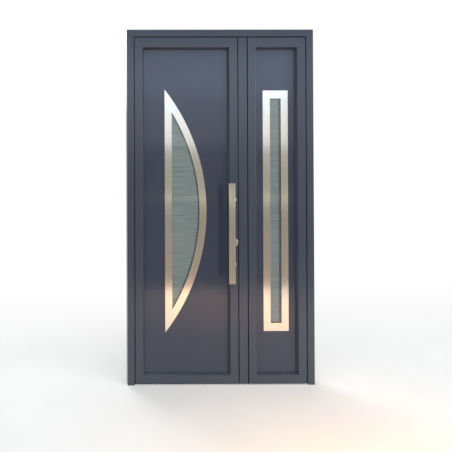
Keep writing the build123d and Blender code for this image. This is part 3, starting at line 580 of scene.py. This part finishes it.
brush("active_brush_strip", "active_bottom_brush", "active_leaf", 3)
brush("side_brush_strip", "side_bottom_brush", "side_leaf", 4)

# ---------------------------------------------------------------------------
# Screws: countersunk, with a hexagon socket. They hold the hinges, the face
# plate, the keeps, the flush bolts' plates, the inside plate and the threshold.


ring_points = 24
sunk = -0.0004
socket_floor = -0.0003
socket_share = 0.42
screw_proud = 0.0007


def screw_grid(radius, proud, socket):
    """Rings of one screw head about +Z, one row of points to a ring.

    The rings are the foot, the rim, the crown, the socket's mouth, its wall and its floor. The
    socket is a hexagon: its radius is the flat's distance over the cosine of the angle off
    that flat.
    """
    angle = np.linspace(0, 2 * np.pi, ring_points, endpoint=False)
    circle = np.stack([np.cos(angle), np.sin(angle)], 1)
    off_flat = (angle + np.pi / 6) % (np.pi / 3) - np.pi / 6
    hexagon = circle * (socket / np.cos(off_flat))[:, None]
    rings = [
        (circle * radius, sunk),
        (circle * radius, 0.6 * proud),
        (circle * 0.86 * radius, proud),
        (hexagon * 1.04, proud),
        (hexagon, 0.8 * proud),
        (hexagon, socket_floor),
        (circle * 0.5 * socket, socket_floor),
    ]
    return np.stack([np.column_stack([flat, np.full(ring_points, level)]) for flat, level in rings])


def screws(name, spots, facing, radius, body, finish=zinc_plate):
    """One mesh of like screw heads, each standing on its spot and facing the same way."""
    ahead = np.array(facing, float)
    aside = np.cross(ahead, [0.0, 0.0, 1.0]) if abs(ahead[2]) < 0.5 else np.array([1.0, 0.0, 0.0])
    turn = np.stack([aside, np.cross(ahead, aside), ahead])
    head = screw_grid(radius, screw_proud, socket_share * radius) @ turn
    piece = skin(name, [head + np.array(spot, float) for spot in spots])
    return finished(piece, finish, body)


hinge_middles = (0.24, 1.05, 1.86)
hinge_plate = 0.004
jamb_screw_x = 0.5695
leaf_screw_x = (0.5095, 0.5235)


def hinge_screws(side, leaf):
    """Screws of one leaf's three hinges; side is -1 on the left and +1 on the right."""
    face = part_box(f"{leaf}_frame_hinges")[0].y + hinge_plate
    jamb_steps, leaf_steps = (-0.038, 0.0, 0.038), (-0.015, 0.015)
    jamb_spots = [
        (side * jamb_screw_x, face, middle + step)
        for middle in hinge_middles
        for step in jamb_steps
    ]
    leaf_spots = [
        (side * x, face, middle + step)
        for middle in hinge_middles
        for x in leaf_screw_x
        for step in leaf_steps
    ]
    screws(f"{leaf}_jamb_hinge_screws", jamb_spots, (0, 1, 0), 0.0038, "frame")
    screws(f"{leaf}_leaf_hinge_screws", leaf_spots, (0, 1, 0), 0.0036, f"{leaf}_leaf")


hinge_screws(-1, "active")
hinge_screws(1, "side")

plate_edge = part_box("lock_faceplate")[1].x
face_screw_heights = (0.235, 0.48, 0.66, 0.772, 0.887, 1.062, 1.22, 1.44, 1.6, 1.855)
screws(
    "face_plate_screws",
    [(plate_edge, 0.0, z) for z in face_screw_heights],
    (1, 0, 0),
    0.0034,
    "active_leaf",
)

keep_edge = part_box("lock_keeps")[0].x
keep_middles_and_reaches = ((0.835, 0.022), (1.0, 0.018), (0.35, 0.019), (1.74, 0.019))
keep_heights = [z + side * off for z, off in keep_middles_and_reaches for side in (-1, 1)]
plate_low, plate_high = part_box("flush_bolt_plates")
plate_steps = (0.008, 0.142)
flush_heights = [plate_low.z + step for step in plate_steps]
flush_heights += [plate_high.z - step for step in reversed(plate_steps)]
screws(
    "keep_and_flush_plate_screws",
    [(keep_edge, 0.0, z) for z in keep_heights + flush_heights],
    (-1, 0, 0),
    0.0032,
    "side_leaf",
)

strike_low, strike_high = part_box("head_strike")
strike_middle = (strike_low.x + strike_high.x) / 2
screws(
    "head_strike_screws",
    [(strike_middle + step, 0.0, strike_low.z) for step in (-0.014, 0.014)],
    (0, 0, -1),
    0.0032,
    "frame",
)

inside_low, inside_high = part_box("handle_plate")
inside_middle = (inside_low.x + inside_high.x) / 2
inside_heights = (inside_low.z + 0.016, inside_high.z - 0.016)
screws(
    "handle_plate_screws",
    [(inside_middle, inside_high.y, z) for z in inside_heights],
    (0, 1, 0),
    0.0042,
    "active_leaf",
    nickel,
)

threshold_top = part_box("threshold")[1].z
screws(
    "threshold_screws",
    [(x, 0.017, threshold_top) for x in (-0.47, -0.16, 0.24, 0.48)],
    (0, 0, 1),
    0.0045,
    "frame",
)

# ---------------------------------------------------------------------------
# Sealant round the lights: a thin black bead where each steel trim meets the
# panel, and another where it meets the glass.

bead_radius = 0.0009
trim_face = 0.044
trim_end = 0.050
arc_points = 97
moon_low, moon_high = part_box("active_outer_trim")
moon_width, moon_height = moon_high.x - moon_low.x, moon_high.z - moon_low.z
moon_radius = (moon_height**2 / 4 + moon_width**2) / (2 * moon_width)
moon_middle = (moon_low.z + moon_high.z) / 2


def moon_path(margin, depth):
    """Half-moon's edge moved in by margin: an arc from its lower tip to its upper tip.

    The arc is the circle through both tips and the widest point; the chord closes it.
    """
    radius = moon_radius - margin
    centre = moon_high.x - moon_radius
    reach = np.arccos((moon_low.x + margin - centre) / radius)
    angle = np.linspace(-reach, reach, arc_points)
    across, up = centre + radius * np.cos(angle), moon_middle + radius * np.sin(angle)
    return np.stack([across, np.full(arc_points, depth), up], 1)


def tall_path(margin, depth):
    """Tall trim's outline moved in by margin, anticlockwise; its ends are wider than its sides."""
    low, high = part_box("side_outer_trim")
    end = margin * trim_end / trim_face
    left, right, bottom, top = low.x + margin, high.x - margin, low.z + end, high.z - end
    return [(left, depth, bottom), (right, depth, bottom), (right, depth, top), (left, depth, top)]


def sealant(leaf, path):
    """Beads along a trim's outer edge and along its glass opening, outside and inside.

    A bead's profile is a full small circle, half sunk in what it seals.
    """
    turn = np.linspace(0, 2 * np.pi, 8, endpoint=False)
    bead = bead_radius * np.stack([np.cos(turn), np.sin(turn)], 1)
    faces = (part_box(f"{leaf}_outer_trim")[1].y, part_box(f"{leaf}_inner_trim")[0].y)
    loops = [
        carry(path(margin, depth), bead, True) for depth in faces for margin in (0.0, trim_face)
    ]
    beads = skin(f"{leaf}_light_sealant", loops, closed_path=True)
    finished(beads, black_rubber, f"{leaf}_leaf")


sealant("active", moon_path)
sealant("side", tall_path)

# ---------------------------------------------------------------------------
# Studio: a pale floor that curves up behind the door, a soft muted sky, large
# soft lamps round the door, and the photograph's camera.


def sweep(width, front, back, height, bend):
    """Studio floor: flat from front to back, then a quarter circle up into a wall."""
    turn = np.linspace(0, np.pi / 2, 17)
    run = np.concatenate([[front], back + bend * np.sin(turn), [back + bend]])
    rise = np.concatenate([[0.0], bend - bend * np.cos(turn), [height]])
    left = np.stack([np.full(len(run), -width / 2), run, rise], 1)
    right = left * (-1.0, 1.0, 1.0)
    grid = np.stack([left, right], 1)
    numbers = np.arange(len(run) * 2).reshape(-1, 2)
    faces = np.stack([numbers[:-1, 0], numbers[:-1, 1], numbers[1:, 1], numbers[1:, 0]], 1)
    mesh = bpy.data.meshes.new("studio_floor")
    mesh.from_pydata(grid.reshape(-1, 3).tolist(), [], faces.tolist())
    floor = bpy.data.objects.new("studio_floor", mesh)
    bpy.context.scene.collection.objects.link(floor)
    mesh.polygons.foreach_set("use_smooth", [True] * len(mesh.polygons))
    return floor


floor = sweep(width=24.0, front=-2.05, back=5.0, height=9.0, bend=2.0)
floor_paint, floor_tree, floor_shader, floor_place = new_finish("pale_floor")
floor_tone = between(floor_tree, noise(floor_tree, floor_place, (2, 2, 2)), 0.0, 1.0)
floor_tree.links.new(
    colour_mix(floor_tree, floor_tone, linear(243, 242, 240), linear(247, 246, 245)),
    floor_shader.inputs["Base Color"],
)
floor_shader.inputs["Roughness"].default_value = 0.9
away = put(floor_tree, "ShaderNodeSeparateXYZ", {"Vector": floor_place})["Y"]
fade = {"Value": away, "From Min": -0.2, "From Max": 2.0}
seen_white = put(floor_tree, "ShaderNodeMapRange", fade)["Result"]
light_path = floor_tree.nodes.new("ShaderNodeLightPath").outputs
looked_at = light_path["Is Camera Ray"]
for ray in ("Is Transmission Ray", "Is Glossy Ray"):
    either = {0: looked_at, 1: light_path[ray]}
    looked_at = put(floor_tree, "ShaderNodeMath", either, operation="MAXIMUM")["Value"]
both = {0: looked_at, 1: seen_white}
white_share = put(floor_tree, "ShaderNodeMath", both, operation="MULTIPLY")["Value"]
white = put(floor_tree, "ShaderNodeEmission", {"Color": (1.0, 1.0, 1.0, 1.0), "Strength": 1.0})
shown = floor_tree.nodes.new("ShaderNodeMixShader")
floor_tree.links.new(white_share, shown.inputs[0])
floor_tree.links.new(floor_shader.outputs[0], shown.inputs[1])
floor_tree.links.new(white["Emission"], shown.inputs[2])
floor_tree.links.new(shown.outputs[0], floor_tree.nodes["Material Output"].inputs["Surface"])
floor.data.materials.append(floor_paint)

world = bpy.data.worlds.new("soft_sky")
world.use_nodes = True
sky = world.node_tree
bpy.context.scene.world = world
direction = sky.nodes.new("ShaderNodeTexCoord").outputs["Generated"]
rise = put(sky, "ShaderNodeSeparateXYZ", {"Vector": direction})["Z"]
share = put(sky, "ShaderNodeMapRange", {"Value": rise, "From Min": -1.0})["Result"]
ramp = sky.nodes.new("ShaderNodeValToRGB")
sky_stops = (
    (0.36, (0.40, 0.33, 0.27)),
    (0.42, (0.46, 0.40, 0.345)),
    (0.455, (0.34, 0.33, 0.28)),
    (0.49, (0.42, 0.41, 0.34)),
    (0.54, (0.50, 0.50, 0.46)),
    (0.60, (0.52, 0.53, 0.53)),
)
while len(ramp.color_ramp.elements) < len(sky_stops):
    ramp.color_ramp.elements.new(0.5)
for element, (spot, colour) in zip(ramp.color_ramp.elements, sky_stops):
    element.position = spot
    element.color = (*colour, 1.0)
sky.links.new(share, ramp.inputs["Fac"])
background = sky.nodes["Background"]
sky.links.new(ramp.outputs["Color"], background.inputs["Color"])
background.inputs["Strength"].default_value = 1.0


def soft_lamp(name, place, target, size, power, colour):
    """Rectangular area lamp that shines at its target; size is its width and height."""
    lamp = bpy.data.lights.new(name, "AREA")
    lamp.shape, lamp.energy, lamp.color = "RECTANGLE", power, colour
    lamp.size, lamp.size_y = size
    holder = bpy.data.objects.new(name, lamp)
    holder.location = place
    holder.rotation_mode = "QUATERNION"
    holder.rotation_quaternion = (Vector(target) - Vector(place)).to_track_quat("-Z", "Y")
    bpy.context.scene.collection.objects.link(holder)
    return lamp


daylight = (0.95, 0.98, 1.0)
soft_lamp("right_lamp", (6.2, -3.4, 2.6), (0, 0, 1.0), (5, 4), 230, daylight)
soft_lamp("left_lamp", (-5.6, -4.0, 2.8), (0, 0, 1.0), (5, 4), 90, daylight)
soft_lamp("top_lamp", (-0.6, -1.6, 6.0), (0, 0, 0.6), (3, 3), 60, daylight)
soft_lamp("back_lamp", (-2.6, 4.2, 4.6), (0, 0, 1.1), (4, 4), 120, (0.97, 0.99, 1.0))

# What the glossy front mirrors: a lowest and highest edge, a power and a colour to each strip.
sky_strips = (
    (2.0, 2.32, 3.6, (0.97, 0.96, 1.0)),
    (2.32, 2.66, 4.6, (0.88, 0.92, 1.0)),
    (2.66, 3.0, 5.8, (0.72, 0.83, 1.0)),
    (3.0, 3.95, 29.5, (0.64, 0.78, 1.0)),
)
for low, high, power, colour in sky_strips:
    spot, target = (0.8, -5.0, (low + high) / 2), (0.8, 0, (low + high) / 2)
    soft_lamp(f"sky_strip_{low}", spot, target, (5.0, high - low), power, colour)
soft_lamp("horizon_strip", (1.2, -5.0, 0.95), (1.2, 0, 0.95), (4.4, 0.1), 1.2, (1.0, 0.98, 0.8))
ground_glow = soft_lamp(
    "ground_glow", (0.5, -1.7, 1.6), (0.5, -1.6, 0), (1, 1), 12.5, (1.0, 0.5, 0.14)
)
ground_glow.spread = radians(90)

camera_data = bpy.data.cameras.new("photo_camera")
camera_data.sensor_width = 36
camera_data.lens = 28.667
camera_data.shift_x = 0.2891
camera_data.shift_y = -0.0969
camera = bpy.data.objects.new("photo_camera", camera_data)
camera.location = (-0.78, -2.25606, 1.24)
camera.rotation_euler = (radians(90.29586), radians(0.13252), radians(-0.16262))
bpy.context.scene.collection.objects.link(camera)
bpy.context.scene.camera = camera
bpy.context.scene.view_settings.view_transform = "Standard"
